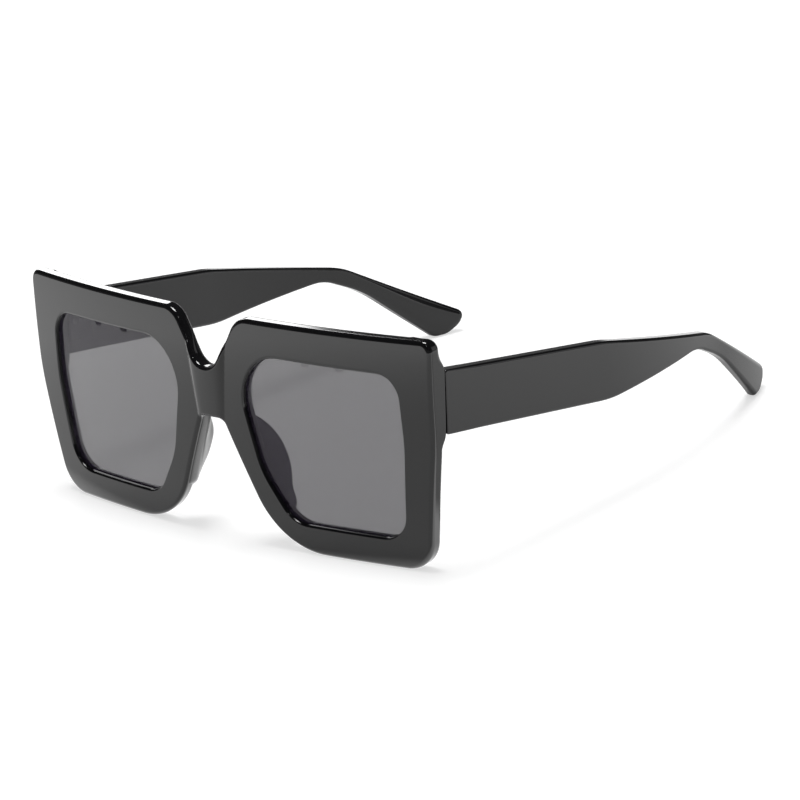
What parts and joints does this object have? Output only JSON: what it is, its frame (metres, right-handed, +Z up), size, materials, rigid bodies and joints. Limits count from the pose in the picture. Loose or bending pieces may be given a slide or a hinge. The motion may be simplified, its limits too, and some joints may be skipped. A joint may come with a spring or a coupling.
{
  "type": "sunglasses",
  "caption": "Oversized square sunglasses with a bowed glossy front, smoke lenses, moulded nose pads and wide temples that fold on barrel hinges.",
  "frame": {"origin": "middle of the footprint at the floor, below the middle between the front and the temple tips", "axes": "+Z up, the lenses face -Y, +X towards the wearer's left; X = 0 is the symmetry plane"},
  "size_m": [0.1492, 0.1508, 0.0606],
  "materials": {
    "frame_plastic": "gloss",
    "pad_plastic": "gloss",
    "smoke_lens": "gloss",
    "hinge_steel": "satin",
    "screw_steel": "satin",
    "core_wire": "satin"
  },
  "bodies": {
    "front": {"front_frame": "frame_plastic", "lens_left": "smoke_lens", "lens_right": "smoke_lens", "nose_pad_left": "pad_plastic", "nose_pad_right": "pad_plastic", "front_leaf_left": "hinge_steel", "front_leaf_right": "hinge_steel", "front_leaf_screws_left": "screw_steel", "front_leaf_screws_right": "screw_steel", "hinge_screw_left": "screw_steel", "hinge_screw_right": "screw_steel"},
    "temple_l": {"temple_left": "frame_plastic", "temple_core_left": "core_wire", "temple_leaf_left": "hinge_steel", "temple_leaf_screws_left": "screw_steel"},
    "temple_r": {"temple_right": "frame_plastic", "temple_core_right": "core_wire", "temple_leaf_right": "hinge_steel", "temple_leaf_screws_right": "screw_steel"}
  },
  "joints": [
    {"name": "fold_left", "type": "hinge", "parent": "front", "child": "temple_l", "pos_m": [0.0678, -0.06096, 0.0438], "axis": [0.0028, 0.1149, 0.9934], "range_deg": [0, 84.2]},
    {"name": "fold_right", "type": "hinge", "parent": "front", "child": "temple_r", "pos_m": [-0.0678, -0.06096, 0.0438], "axis": [0.0028, -0.1149, -0.9934], "range_deg": [0, 68.5]}
  ]
}
